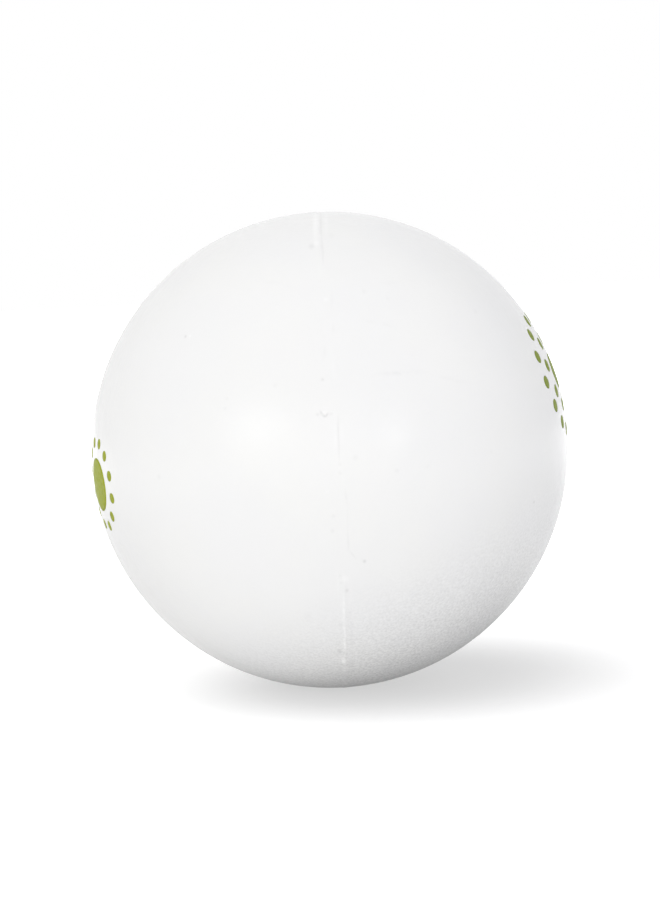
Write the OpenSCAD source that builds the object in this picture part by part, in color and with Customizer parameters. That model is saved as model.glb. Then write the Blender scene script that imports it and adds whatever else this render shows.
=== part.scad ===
// Field hockey ball: one moulded piece, with the marks that its two-part mould leaves
// and a plain printed mark on each side.
//
// The ball is centred on the origin. The mould closes on the plane x = 0, so its seam
// is the great circle in the YZ plane. "Front" is -Y, "right" is +X and "top" is +Z.
// A place beside the seam is given as an angle round it, from the front towards the
// top, and as a distance across it, positive to the right.

/* [Ball] */
// Diameter of the ball
ball_d = 73; // [71.3:0.1:74.8]

/* [Mould seam] */
// Width of the flash bead that trimming leaves along the seam
bead_w = 1.1; // [0.7:0.1:2]
// Height of the flash bead above the ball
bead_h = 0.06; // [0.04:0.01:0.2]
// Width of the trimming groove on each side of the bead
groove_w = 0.4; // [0.3:0.1:1]
// Depth of each trimming groove
groove_depth = 0.04; // [0.02:0.01:0.08]

/* [Flush stretch] */
// Angle below the front at which the bead stops, and its trimming is flush from there on
flush_below = 22; // [16:1:60]
// Angle above the front at which the bead starts again
flush_above = 47; // [25:1:80]
// Width of the fine parting line that is left along the flush stretch
line_w = 0.24; // [0.16:0.02:0.5]
// Depth of the parting line
line_depth = 0.03; // [0.02:0.01:0.06]
// Angle between each end of the parting line and the bead
line_margin = 3; // [1:1:10]

/* [Gate] */
// Angle of the gate round the seam, from the front towards the top
gate_angle = 13; // [0:1:80]
// Clear distance between the trimming groove and the dish round the gate
gate_gap = 0.2; // [0.1:0.1:1]
// Diameter of the shallow dish round the gate
dish_d = 1.2; // [0.8:0.1:2]
// Depth of the dish
dish_depth = 0.06; // [0.03:0.01:0.12]
// Diameter of the trimmed stub in the middle of the dish
stub_d = 0.6; // [0.3:0.05:0.7]
// Height of the stub above the ball
stub_h = 0.05; // [0.02:0.01:0.15]

/* [Pin marks] */
// Clear distance between the trimming groove and a pin mark
pin_gap = 0.2; // [0.1:0.1:1]
// Diameter of a mark left by a mould pin
pin_d = 0.45; // [0.3:0.05:0.8]
// Depth of a pin mark
pin_depth = 0.1; // [0.04:0.01:0.15]

/* [Print] */
// Thickness of the ink film
ink_t = 0.04; // [0.02:0.01:0.1]
// Clear distance from the disc to the first ring of dots, and from ring to ring
ring_gap = 1.6; // [0.8:0.1:2]
// Diameter of the disc in the middle of the right mark
right_disc_d = 5.6; // [3:0.1:7]
// Diameter of each dot of the right mark
right_dot_d = 2; // [1:0.1:2.4]
// Angle of the right mark from the right pole
right_tilt = 20; // [0:1:30]
// Direction of that tilt, from the front towards the top
right_turn = 60; // [-90:5:90]
// Diameter of the disc in the middle of the left mark
left_disc_d = 8; // [5:0.1:9]
// Diameter of each dot of the left mark
left_dot_d = 1.6; // [1:0.1:2]
// Angle of the left mark from the left pole
left_tilt = 16; // [0:1:30]
// Direction of that tilt, from the front towards the top
left_turn = -15; // [-90:5:90]

/* [Hidden] */
$fn = 96;

BALL_COLOUR = "#f7f7f5";
INK_COLOUR = "#a8ad5a";

// Angles round the seam of the pin marks, which lie to its left.
PIN_ANGLES = [20.5, -9.5, -13];

// Rings of dots in each mark, counted outwards from the disc, as dots in each ring.
RIGHT_RINGS = [8, 14];
LEFT_RINGS = [12];

ball_r = ball_d / 2;
groove_offset = (bead_w + groove_w) / 2;
seam_edge = bead_w / 2 + groove_w;

// Radius of the arc that spans a chord and rises or sinks by a given amount.
function arc_r(chord, rise) = (chord * chord / 4 + rise * rise) / (2 * rise);

// Degrees that a length spans when it is laid on the ball.
function on_ball(length) = length / ball_r * 180 / PI;

// Turns what is centred on +Z to a place beside the seam.
module beside_seam(angle, across) {
    rotate([90 - angle, 0, 0])
        rotate([0, on_ball(across), 0])
            children();
}

// Turns what is centred on +Z to a side of the ball, tilted away from the pole there.
module on_side(side, tilt, turn) {
    rotate([-turn, 0, 0])
        rotate([0, 0, -side * tilt])
            rotate([0, side * 90, 0])
                children();
}

// Turns a half section about the axis along which the mould opens.
module turned() {
    rotate([0, 90, 0])
        rotate_extrude()
            children();
}

// A round tool whose lowest arc spans a chord and sinks a given depth into the ball.
module round_dent(chord, depth) {
    r = arc_r(chord, depth);
    translate([0, 0, ball_r - depth + r])
        sphere(r);
}

// A round pad, centred on +Z, whose face follows the ball at a given height above it.
module round_pad(d, height) {
    intersection() {
        translate([0, 0, ball_r / 2])
            cylinder(h = ball_r, d = d);
        sphere(ball_r + height);
    }
}

module plain_ball() {
    turned()
        intersection() {
            circle(ball_r);
            translate([0, -ball_d])
                square([2 * ball_d, 2 * ball_d]);
        }
}

// A ring whose crown stands proud of the ball all along the seam.
module bead() {
    r = arc_r(bead_w, bead_h);
    turned()
        translate([ball_r + bead_h - r, 0])
            circle(r);
}

// A round tool that sinks into the ball all along the seam, at a distance across it.
module groove(width, depth, across) {
    r = arc_r(width, depth);
    turned()
        rotate(on_ball(across))
            translate([ball_r - depth + r, 0])
                circle(r);
}

// The wedge of the seam along which the bead is trimmed flush, less a margin at each end.
module flush_stretch(margin = 0) {
    low = margin - flush_below;
    high = flush_above - margin;
    rotate([90, 0, 90])
        linear_extrude(ball_d, center = true)
            polygon([
                [0, 0],
                for (angle = [low, (low + high) / 2, high])
                    ball_d * [-cos(angle), sin(angle)]
            ]);
}

// The fine line where the mould's halves meet, seen where the bead is trimmed flush.
module parting_line() {
    intersection() {
        groove(line_w, line_depth, 0);
        flush_stretch(line_margin);
    }
}

// The ball with its seam: a bead that is trimmed flush at the front, between two grooves.
module seamed_ball() {
    difference() {
        union() {
            plain_ball();
            difference() {
                bead();
                flush_stretch();
            }
        }
        for (side = [-1, 1])
            groove(groove_w, groove_depth, side * groove_offset);
        parting_line();
    }
}

// Where the gate was cut off: a shallow dish with the stub left standing in it.
module at_gate() {
    beside_seam(gate_angle, -(seam_edge + gate_gap + dish_d / 2))
        children();
}

module gate_dish() {
    at_gate()
        round_dent(dish_d, dish_depth);
}

module gate_stub() {
    at_gate()
        round_pad(stub_d, stub_h);
}

module pin_marks() {
    pin_offset = seam_edge + pin_gap + pin_d / 2;
    for (angle = PIN_ANGLES)
        beside_seam(angle, -pin_offset)
            round_dent(pin_d, pin_depth);
}

// A disc of ink with rings of evenly spaced dots round it.
module rosette(disc_d, dot_d, rings) {
    round_pad(disc_d, ink_t);
    for (ring = [0 : len(rings) - 1]) {
        distance = disc_d / 2 + (ring + 1) * ring_gap + (ring + 0.5) * dot_d;
        for (i = [0 : rings[ring] - 1])
            rotate([0, 0, i * 360 / rings[ring]])
                rotate([0, on_ball(distance), 0])
                    round_pad(dot_d, ink_t);
    }
}

module printed_marks() {
    on_side(1, right_tilt, right_turn)
        rosette(right_disc_d, right_dot_d, RIGHT_RINGS);
    on_side(-1, left_tilt, left_turn)
        rosette(left_disc_d, left_dot_d, LEFT_RINGS);
}

module ball() {
    color(BALL_COLOUR) {
        difference() {
            seamed_ball();
            gate_dish();
            pin_marks();
        }
        gate_stub();
    }
    color(INK_COLOUR)
        printed_marks();
}

ball();
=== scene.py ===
"""Looks of a field hockey ball: one white moulding with its seam, gate mark and printed marks.

A place on the ball is given as an angle along the seam, from the front (-Y) towards the top,
and as a distance across it, positive towards +X.
"""

import math
from collections import namedtuple

import bmesh
import bpy
from mathutils import Matrix, Vector, noise


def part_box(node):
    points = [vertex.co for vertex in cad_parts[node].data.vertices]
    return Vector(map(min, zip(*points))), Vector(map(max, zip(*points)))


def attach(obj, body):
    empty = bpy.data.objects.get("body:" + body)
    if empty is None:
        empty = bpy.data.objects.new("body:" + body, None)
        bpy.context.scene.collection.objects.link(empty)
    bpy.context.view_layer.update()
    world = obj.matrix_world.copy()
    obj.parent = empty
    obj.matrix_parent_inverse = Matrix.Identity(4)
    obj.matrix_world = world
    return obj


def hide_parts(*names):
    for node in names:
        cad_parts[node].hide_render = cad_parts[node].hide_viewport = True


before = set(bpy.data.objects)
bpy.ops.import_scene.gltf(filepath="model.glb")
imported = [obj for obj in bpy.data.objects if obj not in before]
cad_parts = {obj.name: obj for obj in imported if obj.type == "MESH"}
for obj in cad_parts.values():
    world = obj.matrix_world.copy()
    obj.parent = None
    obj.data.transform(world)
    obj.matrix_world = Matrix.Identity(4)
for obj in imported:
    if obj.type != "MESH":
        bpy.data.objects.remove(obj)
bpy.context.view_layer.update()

MM = 0.001
CENTRE = Vector((0, 0, 0))
RIGHT_AXIS = Vector((1, 0, 0))
UP_AXIS = Vector((0, 0, 1))

# Ball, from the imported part
ball_low, ball_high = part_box("ball")
BALL_R = (ball_high.x - ball_low.x) / 2
FLOOR_Z = ball_low.z

# Photograph's frame and camera
PHOTO_W, PHOTO_H = 660, 900
BALL_X, BALL_Y, BALL_RADIUS_PX = 329.64, 449.65, 238.12
LENS_MM, SENSOR_MM = 85, 36
CAMERA_AZIMUTH, CAMERA_ELEVATION, CAMERA_ROLL = -2.0, 5.0, 2.8
FOCAL_PX = max(PHOTO_W, PHOTO_H) * LENS_MM / SENSOR_MM
CAMERA_DISTANCE = BALL_R * math.hypot(1, FOCAL_PX / BALL_RADIUS_PX)
CLIP_START, CLIP_END = 0.01, 50

# Mesh of the ball: columns run across the seam, and rings follow it
FINE_BAND = 2.7 * MM
FINE_STEP = 0.09 * MM
COARSE_STEP = 1.5 * MM
STEP_GROWTH = 1.3
DOUBLINGS = 3
WEDGE_RINGS = 74
RING_STEP = BALL_R * math.tau / (WEDGE_RINGS * 2 ** DOUBLINGS)
WEDGE_WELD = 0.004 * MM
SAME_COLUMN = 0.001 * MM

# Gate mark, and dents that mould pins left, each along the seam in degrees and across it
GATE_ALONG, GATE_ACROSS = 13.0, -1.77 * MM
PIN_PLACES = [(20.4, -1.70 * MM), (-9.5, -1.17 * MM), (-12.9, -1.40 * MM)]
PIN_R, PIN_DEPTH = 0.26 * MM, 0.04 * MM

# Gate mark's own forms, in millimetres from its middle. The moat is full below it and fades out
# above. Each torn dent is given by its middle across the seam and its half width.
NIB_HEIGHT, NIB_UP, NIB_R = 0.05, 0.12, 0.26
MOAT_DEPTH, MOAT_R, MOAT_HALF_WIDTH = 0.07, 0.36, 0.2
MOAT_LEVEL, MOAT_FADE = 0.7, 0.5
TORN_DEPTH, TORN_DOWN, TORN_HALF_HEIGHT = 0.03, 0.05, 0.3
TORN_DENTS = [(-0.95, 0.42), (0.85, 0.34)]

# Degrees to each side of the gate and of a pin dent where the mesh has finer rings, and the cuts
# that make them
GATE_STRETCH, PIN_STRETCH = 2.0, 0.8
FINE_CUTS = 3

Stroke = namedtuple("Stroke", "start end across_start across_end half_width height")

# What trimming left along the seam, each as a ridge or, where the height is negative, a cut:
# from and to along the seam in degrees, the places across it and the half width in
# millimetres, and the height in hundredths of a millimetre.
FRONT_STROKES = [
    Stroke(100, 47, -0.60, -0.52, 0.46, 5.0),
    Stroke(98, 49, -0.13, -0.26, 0.12, -4.0),
    Stroke(96, 52, 0.25, 0.20, 0.40, -1.6),
    Stroke(44, 37, 0.05, 0.15, 0.24, -1.0),
    Stroke(36, 31, 0.10, 0.20, 0.20, 1.2),
    Stroke(29, 19, -0.10, -0.20, 0.26, 1.2),
    Stroke(16, 2, -0.22, -0.20, 0.28, 1.2),
    Stroke(14, 3, 0.00, 0.05, 0.12, -4.2),
    Stroke(4, -4, 0.10, 0.70, 0.14, -1.8),
    Stroke(-2, -19, 0.74, 1.05, 0.13, -1.8),
    Stroke(-17, -21, 0.95, 1.55, 0.11, -1.8),
    Stroke(-1, -20, -1.05, -1.20, 0.20, -0.9),
    Stroke(-22, -62, 0.00, 0.02, 0.24, 6.5),
    Stroke(-24, -64, -0.80, -0.90, 0.26, -2.4),
    Stroke(-24, -64, 0.62, 0.80, 0.28, -2.4),
    Stroke(-58, -96, 0.30, 0.15, 0.55, 5.0),
]
BACK_STROKES = [
    Stroke(-92, -128, 0.00, -0.20, 0.50, 4.0),
    Stroke(-95, -150, 0.45, 0.30, 0.12, -3.0),
    Stroke(-122, -176, -0.15, 0.25, 0.30, 3.0),
    Stroke(168, 130, 0.20, -0.10, 0.42, 4.5),
    Stroke(172, 118, -0.35, -0.50, 0.12, -3.2),
    Stroke(134, 96, -0.20, -0.55, 0.36, 3.5),
]
SEAM_STROKES = FRONT_STROKES + BACK_STROKES
HUNDREDTH = 0.01 * MM

# How a stroke fades at its ends, in degrees, wanders sideways, in millimetres, and varies in
# height, as a share; the rates are those of the noise for each degree. The painted shading is how
# much each hundredth of a millimetre lightens a ridge or darkens a cut, where colour shows it too.
STROKE_FADE = 3.0
STROKE_WANDER, WANDER_RATE = 0.07, 0.35
STROKE_LEVEL, STROKE_VARIES, VARYING_RATE, VARYING_PLACE = 0.8, 0.5, 0.6, 7.0
STROKE_PAINTED_SHADING = 0.014

# Small marks and spots of painted light and shade, at pixels of the photograph. A speck has a
# radius in pixels, and a line runs from one pixel to another with a half width in pixels. Each
# darkens by a share, or lightens where the share is negative.
Speck = namedtuple("Speck", "x y radius shade")
Line = namedtuple("Line", "x y end_x end_y half_width shade")
SPECKS_AND_PAINTED_SHADING = [
    Speck(185.5, 336.5, 2.4, 0.13),
    # Painted highlight on the lit edge beside the speck above
    Speck(190.0, 336.0, 2.2, -0.05),
    Speck(364.5, 561.3, 2.9, 0.13),
    Speck(534.0, 502.0, 2.4, 0.13),
    # Painted highlight on the lit edge beside the speck above
    Speck(535.0, 497.0, 2.2, -0.05),
    # Painted shade in a pin dent
    Speck(322.5, 379.5, 2.8, 0.08),
    # Painted shade and highlights along the top of the seam
    Speck(311.5, 246.5, 4.4, 0.07),
    Speck(316.5, 243.5, 4.0, -0.04),
    Speck(331.5, 236.0, 4.4, 0.02),
    Speck(325.8, 299.5, 3.4, -0.03),
    # Faint dark specks
    Speck(364.0, 291.5, 3.6, 0.030),
    Speck(387.5, 298.5, 3.2, 0.022),
    Speck(159.0, 477.0, 4.0, 0.040),
    Speck(397.0, 470.5, 4.0, 0.036),
    Speck(355.5, 457.5, 4.4, 0.034),
    Speck(427.5, 466.5, 3.2, 0.022),
    Speck(475.5, 311.5, 3.6, 0.030),
    Speck(227.0, 398.5, 3.0, 0.030),
    Speck(225.0, 408.5, 3.2, 0.030),
    Speck(275.0, 385.5, 3.6, 0.030),
    Speck(491.5, 451.5, 2.8, 0.024),
    # Painted shade in two pin dents
    Speck(333.5, 516.0, 3.4, 0.04),
    Speck(332.5, 531.0, 3.4, 0.04),
    # Painted shade along the seam
    Speck(340.0, 464.5, 3.0, 0.030),
    Speck(340.0, 473.0, 3.2, 0.030),
    # A faint broad dark patch
    Speck(308.0, 616.0, 7.0, 0.022),
    # Painted highlights along the seam's ridge near the bottom, and painted shade beside it
    Speck(340.0, 576.0, 3.0, 0.030),
    Speck(345.0, 579.0, 5.0, -0.040),
    Speck(341.0, 583.0, 2.6, 0.030),
    Speck(347.0, 590.5, 2.9, 0.100),
    Speck(350.0, 613.0, 2.8, 0.040),
    Speck(340.0, 625.5, 3.6, 0.040),
    Speck(343.2, 628.0, 2.8, -0.060),
    Speck(339.5, 651.0, 3.8, 0.120),
    Speck(343.7, 661.0, 4.4, -0.160),
    Speck(345.0, 669.0, 4.6, -0.080),
]

# Painted highlights and shade along the seam's ridges and cuts
SEAM_PAINTED_SHADING = [
    Line(320.2, 200, 321.8, 250, 2.0, 0.065),
    Line(321.4, 236, 323.8, 268, 2.2, 0.055),
    Line(315.4, 196, 316.0, 254, 4.6, -0.070),
    Line(326.0, 206, 326.4, 250, 3.0, -0.030),
    Line(331.2, 284, 332.0, 316, 2.6, 0.018),
    Line(333.0, 320, 333.2, 338, 2.4, 0.022),
    Line(325.6, 340, 323.6, 364, 2.6, 0.022),
    Line(333.4, 348, 333.8, 384, 2.4, -0.014),
    Line(338.2, 412, 338.4, 446, 1.9, 0.055),
    Line(338.4, 432, 339.2, 466, 1.9, 0.050),
    Line(335.2, 418, 335.6, 456, 2.4, -0.018),
    Line(341.8, 418, 342.2, 452, 2.4, -0.020),
    Line(324.0, 494, 331.0, 489, 2.4, -0.024),
    Line(344.6, 486, 347.4, 508, 2.2, 0.045),
    Line(347.2, 498, 347.8, 540, 2.0, 0.024),
    Line(347.4, 528, 348.8, 556, 2.0, 0.050),
    Line(348.2, 549, 358.0, 561, 1.9, 0.045),
    Line(337.6, 560, 337.8, 608, 1.6, -0.022),
    Line(343.4, 584, 343.8, 632, 2.4, -0.050),
    Line(344.6, 622, 345.6, 660, 2.4, -0.080),
    Line(350.6, 596, 351.4, 664, 2.6, 0.030),
    Line(351.4, 646, 352.0, 678, 3.2, 0.060),
]
# Painted shadow round the lower side of the gate's nib and in the torn dents beside it, and a
# painted highlight on the nib
GATE_PAINTED_SHADING = [
    Line(319.4, 409.6, 323.4, 416.4, 2.0, 0.11),
    Line(321.6, 414.6, 326.8, 417.6, 2.0, 0.15),
    Line(325.2, 418.0, 328.6, 411.8, 1.9, 0.11),
    Line(314.4, 415.4, 320.6, 413.6, 2.8, 0.070),
    Line(327.8, 414.4, 334.6, 413.4, 2.2, 0.045),
    Line(321.4, 411.2, 326.0, 412.4, 2.0, -0.04),
]
SCUFFS = [
    Line(362, 376, 440, 372, 4.6, 0.026),
    Line(372, 374, 424, 372, 2.0, 0.022),
    Line(424, 374, 476, 385, 3.6, 0.022),
    Line(350, 318, 409, 331, 4.0, 0.020),
    Line(381, 286, 404, 279, 4.4, 0.024),
    Line(258, 283, 286, 283, 5.6, 0.014),
    Line(222, 325, 246, 319, 3.6, 0.014),
]

# Patterns of noise: the size of the patches, the detail and roughness, and the two levels of the
# noise between which the pattern rises
Pattern = namedtuple("Pattern", "size detail roughness low high")
CLOUDS = Pattern(14 * MM, 3.0, 0.5, 0.3, 0.7)
SEAM_BREAKS = Pattern(1.2 * MM, 3.0, 0.7, 0.3, 0.6)
SCUFF_BREAKS = Pattern(1.5 * MM, 3.0, 0.7, 0.35, 0.6)
SATIN_PATCHES = Pattern(1.2 * MM, 2.0, 0.5, 0.2, 0.8)
INK_TONES = Pattern(0.5 * MM, 3.0, 0.6, 0.35, 0.65)
INK_PATCHES = Pattern(0.8 * MM, 2.0, 0.5, 0.3, 0.7)

# Fine relief: the size of its bumps, their detail and their height
Relief = namedtuple("Relief", "size detail height")
GRAIN = Relief(0.5 * MM, 1.0, 0.01 * MM)
RIPPLE = Relief(1.6 * MM, 2.0, 0.02 * MM)
INK_GRAIN = Relief(0.4 * MM, 2.0, 0.01 * MM)

# White plastic: two close whites, how much painted seam shading is left where it is broken, and
# gloss
PLASTIC_WHITES = (0.90, 0.90, 0.898, 1), (0.892, 0.893, 0.898, 1)
SEAM_LINE_LEAST = 0.6
PLASTIC_ROUGHNESS = 0.22, 0.26
PLASTIC_DIFFUSE_ROUGHNESS, PLASTIC_SPECULAR = 0.5, 0.3

# Speckle on the side turned to the shade. It rises between two places on the way to that side,
# which are given as shares of the ball's radius.
SPECKLE_SIZE, SPECKLE_DETAIL, SPECKLE_ROUGHNESS = 0.36 * MM, 1.0, 0.7
SPECKLE_SIDE, SPECKLE_REACH = Vector((0.35, 0.0, -0.82)), (0.35, 1.05)
SPECKLE_CONTRAST = 0.75

# Floor: a painted shadow, grey round a place under the ball, and how far the floor is lifted to
# white, to the camera and in the ball's gloss
FLOOR_HALF_WIDTH = 4.0
FLOOR_GREY, FLOOR_PALE = 0.21, 0.80
FLOOR_GREY_X, FLOOR_GREY_Y = 12 * MM, 2 * MM
FLOOR_GREY_REACH = (10 * MM, 50 * MM)
FLOOR_LIFT, FLOOR_GLOSS_LIFT = 0.60, 0.38
FLOOR_LIFT_REACH = (40 * MM, 400 * MM)

# Lamps: where each stands, in degrees, its width and height in metres, its power and colour, and
# whether the ball's gloss shows it
WHITE = (1.0, 1.0, 1.0)
FAINTLY_WARM, FAINTLY_COOL = (1.0, 0.996, 0.98), (0.96, 0.962, 1.0)
WORLD_LEVEL = 0.20
Lamp = namedtuple("Lamp", "name azimuth elevation width height power colour in_gloss")
LAMPS = [
    Lamp("left_key", -18, 10, 1.40, 0.50, 6.38, FAINTLY_WARM, False),
    Lamp("left_window", -34.8, 15.5, 0.35, 0.25, 0.60, WHITE, True),
    Lamp("right_window", 28.5, 9.7, 0.18, 0.18, 0.42, WHITE, True),
    Lamp("right_front", 30, 28, 1.20, 1.00, 1.08, FAINTLY_COOL, False),
    Lamp("right_side", 90, 30, 1.00, 1.00, 2.56, FAINTLY_COOL, False),
    Lamp("right_top", 100, 60, 1.00, 1.00, 0.78, FAINTLY_COOL, False),
    Lamp("front_top", 0, 60, 1.20, 0.80, 0.50, FAINTLY_WARM, False),
    Lamp("left_rear", -120, 45, 1.00, 1.00, 1.85, WHITE, False),
    Lamp("left_top", -100, 60, 1.00, 1.00, 1.05, FAINTLY_WARM, False),
    Lamp("back", 178, 14, 1.00, 0.60, 2.20, WHITE, False),
]

# Printed marks: a disc with rings of dots, on each side of the ball, in two close greens
RIGHT_GREENS = (0.22, 0.28, 0.035, 1), (0.26, 0.32, 0.05, 1)
LEFT_GREENS = (0.33, 0.38, 0.02, 1), (0.39, 0.44, 0.04, 1)
INK_ROUGHNESS = 0.42, 0.55
INK_SPECULAR = 0.1
RING_GAP = 1.6 * MM
Mark = namedtuple("Mark", "name side tilt turn disc_d dot_d rings greens")
MARKS = [
    Mark("right_print", 1, 20, 60, 5.6 * MM, 2.0 * MM, (8, 14), RIGHT_GREENS),
    Mark("left_print", -1, 16, -15, 8.0 * MM, 1.6 * MM, (12,), LEFT_GREENS),
]

# Pads of ink: how far each stands out and reaches in, the share of its height where its rim
# starts, and its mesh
INK_T, INK_SUNK = 0.04 * MM, 0.05 * MM
PAD_RIM_SHARE = 0.6
PAD_ROW, PAD_LEAST_ROWS = 0.5 * MM, 3
PAD_STEP, PAD_LEAST_STEPS = 0.35 * MM, 20
PAD_WELD = 0.001 * MM


def on_ball(along, across=0.0, radius=BALL_R):
    """The point at an angle along the seam and a distance across it."""
    a, b = math.radians(along), across / BALL_R
    return radius * Vector((math.sin(b), -math.cos(b) * math.cos(a), math.cos(b) * math.sin(a)))


def towards(azimuth, elevation):
    """The direction at an azimuth, from the front towards +X, and an elevation."""
    a, e = math.radians(azimuth), math.radians(elevation)
    return Vector((math.sin(a) * math.cos(e), -math.cos(a) * math.cos(e), math.sin(e)))


def camera_turn():
    """The camera's rotation: it looks at the ball's centre, rolled a little."""
    back = towards(CAMERA_AZIMUTH, CAMERA_ELEVATION)
    roll = Matrix.Rotation(math.radians(-CAMERA_ROLL), 4, "Z").to_quaternion()
    return (-back).to_track_quat("-Z", "Y") @ roll


def seen_at(x, y):
    """The point of the ball that the camera sees at a pixel, or its nearest point to the ray."""
    start = towards(CAMERA_AZIMUTH, CAMERA_ELEVATION) * CAMERA_DISTANCE
    ray = camera_turn() @ Vector((x - BALL_X, BALL_Y - y, -FOCAL_PX)).normalized()
    middle = start.dot(ray)
    inside = max(0.0, middle ** 2 - start.length_squared + BALL_R ** 2)
    return (start - ray * (middle + math.sqrt(inside))).normalized() * BALL_R


def px_size(point):
    """The real size of a pixel of the photograph on the ball, where it is seen face on."""
    eye = towards(CAMERA_AZIMUTH, CAMERA_ELEVATION) * CAMERA_DISTANCE
    return (eye - point).length / FOCAL_PX


def smooth(x):
    """Rises gently from 0 to 1 as x does."""
    x = min(1.0, max(0.0, x))
    return x * x * (3 - 2 * x)


def new_piece(name, bm, material):
    """Makes an object of a finished bmesh, shaded smooth, and links it."""
    mesh = bpy.data.meshes.new(name)
    bm.to_mesh(mesh)
    bm.free()
    mesh.shade_smooth()
    mesh.materials.append(material)
    piece = bpy.data.objects.new(name, mesh)
    bpy.context.scene.collection.objects.link(piece)
    return piece


# Node materials


class Nodes:
    """Short calls for building one material's nodes."""

    def __init__(self, name):
        self.material = bpy.data.materials.new(name)
        self.material.use_nodes = True
        self.tree = self.material.node_tree
        self.shader = self.tree.nodes["Principled BSDF"]
        self.place = self.tree.nodes.new("ShaderNodeTexCoord").outputs["Object"]

    def add(self, kind, settings=(), **inputs):
        node = self.tree.nodes.new(kind)
        for name, value in dict(settings).items():
            setattr(node, name, value)
        for name, value in inputs.items():
            self.put(node, name.replace("_", " "), value)
        return node

    def put(self, node, name, value):
        """Sets or links an input, found by its name or, where it is a number, its place."""
        socket = node.inputs[int(name)] if name.strip().isdigit() else node.inputs[name]
        if isinstance(value, bpy.types.NodeSocket):
            self.tree.links.new(value, socket)
        else:
            socket.default_value = value

    def noise(self, size, detail, roughness=0.5):
        """Noise from 0 to 1, whose patches are about the given size in metres."""
        node = self.add("ShaderNodeTexNoise", Vector=self.place, Scale=1 / size,
                        Detail=detail, Roughness=roughness)
        return node.outputs["Fac"]

    def spread(self, value, low, high, to_low=0.0, to_high=1.0):
        """Maps low to high smoothly onto to_low to to_high, and holds the ends."""
        node = self.add("ShaderNodeMapRange", {"interpolation_type": "SMOOTHSTEP"}, Value=value)
        for name, number in (("From Min", low), ("From Max", high),
                             ("To Min", to_low), ("To Max", to_high)):
            node.inputs[name].default_value = number
        return node.outputs["Result"]

    def pattern(self, kind, to_low=0.0, to_high=1.0):
        """A pattern of noise, which rises from one value to another."""
        rising = self.noise(kind.size, kind.detail, kind.roughness)
        return self.spread(rising, kind.low, kind.high, to_low, to_high)

    def math(self, operation, *values):
        node = self.add("ShaderNodeMath", {"operation": operation})
        for place, value in enumerate(values):
            self.put(node, str(place), value)
        return node.outputs["Value"]

    def mix(self, amount, a, b):
        """A colour from a, at amount 0, to b, at amount 1."""
        node = self.add("ShaderNodeMix", {"data_type": "RGBA"})
        self.put(node, "0", amount)
        self.put(node, "6", a)
        self.put(node, "7", b)
        return node.outputs[2]

    def tint(self, colour, factor):
        node = self.add("ShaderNodeVectorMath", {"operation": "MULTIPLY"})
        self.put(node, "0", colour)
        self.put(node, "1", factor)
        return node.outputs["Vector"]

    def length(self, vector):
        node = self.add("ShaderNodeVectorMath", {"operation": "LENGTH"})
        self.put(node, "0", vector)
        return node.outputs["Value"]

    def patch(self, point, reach, turn):
        """1 at the middle of a spot, falling to 0 at its reach along each of its own axes."""
        middle = self.add("ShaderNodeMapping", {"vector_type": "TEXTURE"}, Vector=self.place,
                          Location=point, Scale=reach, Rotation=turn)
        return self.spread(self.length(middle.outputs["Vector"]), 0.0, 1.0, 1.0, 0.0)

    def relief(self, kind, after=None):
        """The normal that a fine relief gives, on top of another where there is one."""
        height = self.noise(kind.size, kind.detail)
        node = self.add("ShaderNodeBump", Height=height, Distance=kind.height)
        if after is not None:
            self.put(node, "Normal", after)
        return node.outputs["Normal"]


def long_patch(n, start, end, half_width):
    """A long narrow patch from one point of the ball to another."""
    along, out = (end - start).normalized(), (start + end).normalized()
    turn = Matrix((along, out.cross(along), out)).transposed().to_euler()
    length = (end - start).length / 2
    return n.patch(out * BALL_R, (length, half_width, length), turn)


def line_patches(n, lines):
    """Each line's long patch, with how much it darkens."""
    for line in lines:
        start, end = seen_at(line.x, line.y), seen_at(line.end_x, line.end_y)
        width = line.half_width * px_size((start + end).normalized() * BALL_R)
        yield long_patch(n, start, end, width), line.shade


def stroke_patches(n, strokes):
    """Each stroke's long patch, with a painted highlight on a ridge and painted shade in a cut."""
    for s in strokes:
        start, end = on_ball(s.start, s.across_start * MM), on_ball(s.end, s.across_end * MM)
        yield long_patch(n, start, end, s.half_width * MM), -STROKE_PAINTED_SHADING * s.height


def speck_patches(n, specks):
    """Each speck's patch, as a line no longer than it is wide where the camera sees it."""
    return line_patches(n, [Line(s.x, s.y - s.radius, s.x, s.y + s.radius, s.radius, s.shade)
                            for s in specks])


def shaded(n, colour, patches, break_up=None):
    """Darkens a colour by patches, which a second pattern may break up."""
    kept = 1.0
    for patch, shade in patches:
        if break_up is not None:
            patch = n.math("MULTIPLY", patch, break_up)
        kept = n.math("MULTIPLY", kept, n.math("MULTIPLY_ADD", patch, -shade, 1.0))
    return n.tint(colour, kept)


def shade_speckle(n):
    """Fine speckle, strongest on the side turned to the shade, as a factor round 1."""
    side = n.add("ShaderNodeVectorMath", {"operation": "DOT_PRODUCT"})
    n.put(side, "0", n.place)
    n.put(side, "1", SPECKLE_SIDE.normalized() / BALL_R)
    strength = n.spread(side.outputs["Value"], *SPECKLE_REACH, 0.0, SPECKLE_CONTRAST)
    level = n.noise(SPECKLE_SIZE, SPECKLE_DETAIL, SPECKLE_ROUGHNESS)
    return n.math("MULTIPLY_ADD", n.math("SUBTRACT", level, 0.5), strength, 1.0)


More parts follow.
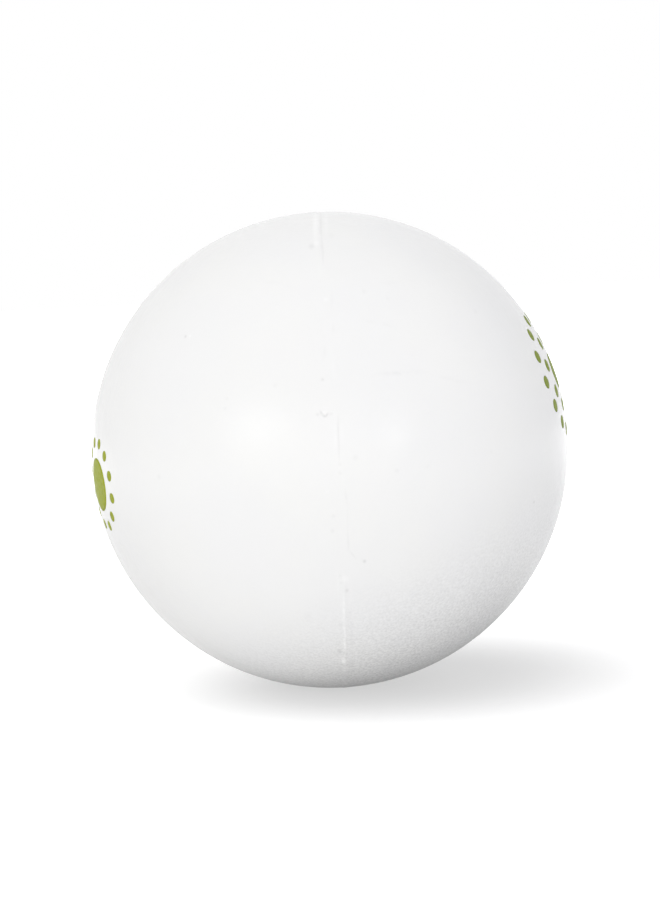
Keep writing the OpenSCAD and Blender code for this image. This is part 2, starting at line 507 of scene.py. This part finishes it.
def moulded_plastic():
    """White plastic: mould grain, small marks, and painted light and shade at its seam, gate and
    dents.
    """
    n = Nodes("white_moulded_plastic")
    colour = n.mix(n.pattern(CLOUDS), *PLASTIC_WHITES)
    # Specks, with painted highlights beside some, and painted shade in the pin dents and along the
    # seam
    colour = shaded(n, colour, speck_patches(n, SPECKS_AND_PAINTED_SHADING))
    # Painted shadow and highlight at the gate mark
    colour = shaded(n, colour, line_patches(n, GATE_PAINTED_SHADING))
    broken = n.pattern(SEAM_BREAKS, SEAM_LINE_LEAST)
    # Painted highlights and shade along the seam, broken up
    colour = shaded(n, colour, line_patches(n, SEAM_PAINTED_SHADING), broken)
    # Painted highlights on the hidden side's ridges and painted shade in its cuts
    colour = shaded(n, colour, stroke_patches(n, BACK_STROKES), broken)
    colour = shaded(n, colour, line_patches(n, SCUFFS), n.pattern(SCUFF_BREAKS))
    n.put(n.shader, "Base Color", n.tint(colour, shade_speckle(n)))
    n.put(n.shader, "Roughness", n.pattern(SATIN_PATCHES, *PLASTIC_ROUGHNESS))
    n.put(n.shader, "Diffuse Roughness", PLASTIC_DIFFUSE_ROUGHNESS)
    n.put(n.shader, "Specular IOR Level", PLASTIC_SPECULAR)
    n.put(n.shader, "Normal", n.relief(RIPPLE, after=n.relief(GRAIN)))
    return n.material


def printing_ink(name, greens):
    """Olive green ink whose tone varies finely between two close greens."""
    n = Nodes(name)
    n.put(n.shader, "Base Color", n.mix(n.pattern(INK_TONES), *greens))
    n.put(n.shader, "Roughness", n.pattern(INK_PATCHES, *INK_ROUGHNESS))
    n.put(n.shader, "Specular IOR Level", INK_SPECULAR)
    n.put(n.shader, "Normal", n.relief(INK_GRAIN))
    return n.material


def background_rays(tree):
    """1 for the rays that show the background: the camera's, and those through gloss and glass."""
    rays = tree.nodes.new("ShaderNodeLightPath").outputs
    seen = rays["Is Camera Ray"]
    for kind in ("Is Glossy Ray", "Is Transmission Ray"):
        either = tree.nodes.new("ShaderNodeMath")
        either.operation = "MAXIMUM"
        tree.links.new(seen, either.inputs[0])
        tree.links.new(rays[kind], either.inputs[1])
        seen = either.outputs["Value"]
    return seen


def pale_floor():
    """A pale floor with a painted shadow, greyer near the ball, lifted to white where it is
    background.

    The ball's own gloss shows it darker near the ball, where the ball shades it.
    """
    n = Nodes("pale_floor")
    under_ball = n.add("ShaderNodeMapping", {"vector_type": "POINT"}, Vector=n.place,
                       Location=(-FLOOR_GREY_X, -FLOOR_GREY_Y, -FLOOR_Z))
    away = n.length(under_ball.outputs["Vector"])
    # Painted shadow of the ball: grey round a place under it, fading to pale
    painted_shadow_fade = n.spread(away, *FLOOR_GREY_REACH)
    grey, pale = ((tone, tone, tone, 1) for tone in (FLOOR_GREY, FLOOR_PALE))
    n.put(n.shader, "Base Color", n.mix(painted_shadow_fade, grey, pale))
    n.put(n.shader, "Roughness", 1.0)
    n.put(n.shader, "Specular IOR Level", 0.0)
    in_gloss = n.add("ShaderNodeLightPath").outputs["Is Glossy Ray"]
    lifts = [n.spread(away, *FLOOR_LIFT_REACH, near, 1.0)
             for near in (FLOOR_LIFT, FLOOR_GLOSS_LIFT)]
    lift = n.mix(in_gloss, *lifts)
    n.put(n.shader, "Emission Color", (*WHITE, 1))
    n.put(n.shader, "Emission Strength", n.math("MULTIPLY", background_rays(n.tree), lift))
    return n.material


# Ball


def column_places():
    """Distances across the seam of the mesh's columns, fine beside the seam."""
    places, step = [0.0], FINE_STEP
    quarter = BALL_R * math.pi / 2
    while places[-1] + step < quarter - COARSE_STEP / 2:
        places.append(places[-1] + step)
        if places[-1] > FINE_BAND:
            step = min(COARSE_STEP, step * STEP_GROWTH)
    places.append(quarter)
    return [-p for p in reversed(places[1:])] + places


def seam_place(point):
    """The angle along the seam and the distance across it of a point."""
    outwards = point.normalized()
    across = math.asin(max(-1.0, min(1.0, outwards.x))) * BALL_R
    return math.degrees(math.atan2(outwards.z, -outwards.y)), across


def stroke_height(stroke, along, across):
    """How far a stroke lifts the surface at a place beside the seam."""
    length = abs(stroke.end - stroke.start)
    passed = (stroke.start - along) % 360
    if passed > length:
        return 0.0
    share = passed / length
    centre = stroke.across_start + (stroke.across_end - stroke.across_start) * share
    centre += STROKE_WANDER * noise.noise(Vector((along * WANDER_RATE, stroke.start, 0.0)))
    off = abs(across / MM - centre) / stroke.half_width
    if off >= 1:
        return 0.0
    fade = smooth(passed / STROKE_FADE) * smooth((length - passed) / STROKE_FADE)
    varying = noise.noise(Vector((along * VARYING_RATE, VARYING_PLACE, stroke.start)))
    uneven = STROKE_LEVEL + STROKE_VARIES * varying
    return stroke.height * HUNDREDTH * fade * uneven * smooth(1 - off)


def gate_height(along, across):
    """The gate mark: a nib with a moat round its lower side and a torn dent at each side."""
    x = (across - GATE_ACROSS) / MM
    y = math.radians(along - GATE_ALONG) * BALL_R / MM
    away = math.hypot(x, y)
    nib = NIB_HEIGHT * smooth(1 - math.hypot(x, y - NIB_UP) / NIB_R)
    moat = -MOAT_DEPTH * smooth(1 - abs(away - MOAT_R) / MOAT_HALF_WIDTH)
    moat *= smooth(MOAT_LEVEL - y / MOAT_FADE)
    dents = 0.0
    for centre, half_width in TORN_DENTS:
        off = math.hypot((x - centre) / half_width, (y + TORN_DOWN) / TORN_HALF_HEIGHT)
        dents -= TORN_DEPTH * smooth(1 - off)
    return (nib + moat + dents) * MM


def pin_height(along, across):
    """A shallow round dent at each place where a mould pin ended."""
    depth = 0.0
    for pin_along, pin_across in PIN_PLACES:
        away = math.hypot(across - pin_across, math.radians(along - pin_along) * BALL_R)
        depth += PIN_DEPTH * smooth(1 - away / PIN_R)
    return -depth


def surface_height(along, across):
    if abs(across) > FINE_BAND + RING_STEP:
        return 0.0
    strokes = sum(stroke_height(s, along, across) for s in SEAM_STROKES)
    return strokes + gate_height(along, across) + pin_height(along, across)


def spin_section(bm):
    """Spins the half section through a wedge, and doubles the wedge until it goes round."""
    verts = [bm.verts.new(on_ball(0, place)) for place in column_places()]
    edges = [bm.edges.new(pair) for pair in zip(verts, verts[1:])]
    wedge = math.tau / 2 ** DOUBLINGS
    bmesh.ops.spin(bm, geom=verts + edges, cent=CENTRE, axis=RIGHT_AXIS, angle=wedge,
                   steps=WEDGE_RINGS)
    for i in range(DOUBLINGS):
        copy = bmesh.ops.duplicate(bm, geom=bm.verts[:] + bm.edges[:] + bm.faces[:])["geom"]
        bmesh.ops.rotate(bm, verts=[g for g in copy if isinstance(g, bmesh.types.BMVert)],
                         cent=CENTRE, matrix=Matrix.Rotation(wedge * 2 ** i, 3, RIGHT_AXIS))
    bmesh.ops.remove_doubles(bm, verts=bm.verts, dist=WEDGE_WELD)


def add_fine_rings(bm):
    """Adds rings at the gate mark and the pin dents, by cutting the edges along the seam."""
    stretches = [(GATE_ALONG, GATE_STRETCH)] + [(pin[0], PIN_STRETCH) for pin in PIN_PLACES]

    def needs_cuts(edge):
        start, end = (v.co for v in edge.verts)
        if abs(start.x - end.x) > SAME_COLUMN:
            return False
        along = seam_place((start + end) / 2)[0]
        return any(abs(along - middle) < reach for middle, reach in stretches)

    near = [e for e in bm.edges if needs_cuts(e)]
    bmesh.ops.subdivide_edges(bm, edges=near, cuts=FINE_CUTS, use_grid_fill=True)
    at_poles = [f for f in bm.faces if len(f.verts) > 4]
    bmesh.ops.triangulate(bm, faces=at_poles)


def make_ball(material):
    """Turns the ball, then lifts and sinks what lies at its seam."""
    bm = bmesh.new()
    spin_section(bm)
    add_fine_rings(bm)
    bmesh.ops.recalc_face_normals(bm, faces=bm.faces)
    for v in bm.verts:
        v.co = v.co.normalized() * (BALL_R + surface_height(*seam_place(v.co)))
    return new_piece("moulded_ball", bm, material)


# Print


def ink_pad(bm, diameter, place):
    """Adds one round pad of ink that follows the ball, turned from the top to its place."""
    reach = diameter / 2 / BALL_R
    rows = max(PAD_LEAST_ROWS, round(diameter / 2 / PAD_ROW))
    top = [(reach * i / rows, BALL_R + INK_T) for i in range(rows)]
    edge = [(reach, BALL_R + INK_T * PAD_RIM_SHARE), (reach, BALL_R - INK_SUNK)]
    profile = top + edge + [(0.0, BALL_R - INK_SUNK)]
    verts = [bm.verts.new(r * Vector((math.sin(a), 0, math.cos(a)))) for a, r in profile]
    edges = [bm.edges.new(pair) for pair in zip(verts, verts[1:])]
    steps = max(PAD_LEAST_STEPS, round(diameter * math.pi / PAD_STEP))
    before = set(bm.verts)
    bmesh.ops.spin(bm, geom=verts + edges, cent=CENTRE, axis=UP_AXIS, angle=math.tau, steps=steps,
                   use_merge=True)
    mine = [v for v in bm.verts if v not in before] + verts
    bmesh.ops.remove_doubles(bm, verts=mine, dist=PAD_WELD)
    mine = [v for v in bm.verts if v not in before or v in verts]
    bmesh.ops.transform(bm, matrix=place, verts=mine)


def mark_place(mark):
    """Turns what is centred on +Z to the mark's side of the ball."""
    return (Matrix.Rotation(math.radians(-mark.turn), 4, "X")
            @ Matrix.Rotation(math.radians(-mark.side * mark.tilt), 4, "Z")
            @ Matrix.Rotation(math.radians(mark.side * 90), 4, "Y"))


def make_mark(mark):
    bm = bmesh.new()
    place = mark_place(mark)
    ink_pad(bm, mark.disc_d, place)
    for ring, dots in enumerate(mark.rings):
        distance = mark.disc_d / 2 + (ring + 1) * RING_GAP + (ring + 0.5) * mark.dot_d
        for i in range(dots):
            turn = Matrix.Rotation(math.tau * i / dots, 4, "Z")
            tip = Matrix.Rotation(distance / BALL_R, 4, "Y")
            ink_pad(bm, mark.dot_d, place @ turn @ tip)
    bmesh.ops.recalc_face_normals(bm, faces=bm.faces)
    return new_piece(mark.name, bm, printing_ink(mark.name + "_ink", mark.greens))


# Stage


def make_floor():
    bm = bmesh.new()
    bmesh.ops.create_grid(bm, x_segments=2, y_segments=2, size=FLOOR_HALF_WIDTH,
                          matrix=Matrix.Translation((0, 0, FLOOR_Z)))
    floor = new_piece("floor", bm, pale_floor())


def make_camera():
    data = bpy.data.cameras.new("camera")
    data.lens, data.sensor_width = LENS_MM, SENSOR_MM
    data.shift_x = (PHOTO_W / 2 - BALL_X) / PHOTO_H
    data.shift_y = (BALL_Y - PHOTO_H / 2) / PHOTO_H
    data.clip_start, data.clip_end = CLIP_START, CLIP_END
    camera = bpy.data.objects.new("camera", data)
    bpy.context.scene.collection.objects.link(camera)
    camera.location = towards(CAMERA_AZIMUTH, CAMERA_ELEVATION) * CAMERA_DISTANCE
    camera.rotation_mode = "QUATERNION"
    camera.rotation_quaternion = camera_turn()
    bpy.context.scene.camera = camera


def make_light(lamp):
    """A softbox one metre away, facing the ball."""
    data = bpy.data.lights.new(lamp.name, "AREA")
    data.shape, data.size, data.size_y = "RECTANGLE", lamp.width, lamp.height
    data.energy, data.color = lamp.power, lamp.colour
    light = bpy.data.objects.new(lamp.name, data)
    bpy.context.scene.collection.objects.link(light)
    light.location = towards(lamp.azimuth, lamp.elevation)
    light.rotation_mode = "QUATERNION"
    light.rotation_quaternion = light.location.to_track_quat("Z", "Y")
    light.visible_glossy = lamp.in_gloss


def make_world(level):
    """Even light all round, which shows as a white background."""
    world = bpy.data.worlds.new("studio")
    bpy.context.scene.world = world
    world.use_nodes = True
    tree = world.node_tree
    background = tree.nodes["Background"]
    background.inputs["Color"].default_value = (*WHITE, 1)
    strength = tree.nodes.new("ShaderNodeMath")
    strength.operation = "MAXIMUM"
    strength.inputs[1].default_value = level
    tree.links.new(background_rays(tree), strength.inputs[0])
    tree.links.new(strength.outputs["Value"], background.inputs["Strength"])


# Whole scene

bpy.context.scene.view_settings.view_transform = "Standard"
make_camera()
ball = make_ball(moulded_plastic())
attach(ball, "root")
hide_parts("ball")
for mark in MARKS:
    piece = make_mark(mark)
    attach(piece, "root")
make_floor()
make_world(WORLD_LEVEL)
for lamp in LAMPS:
    make_light(lamp)
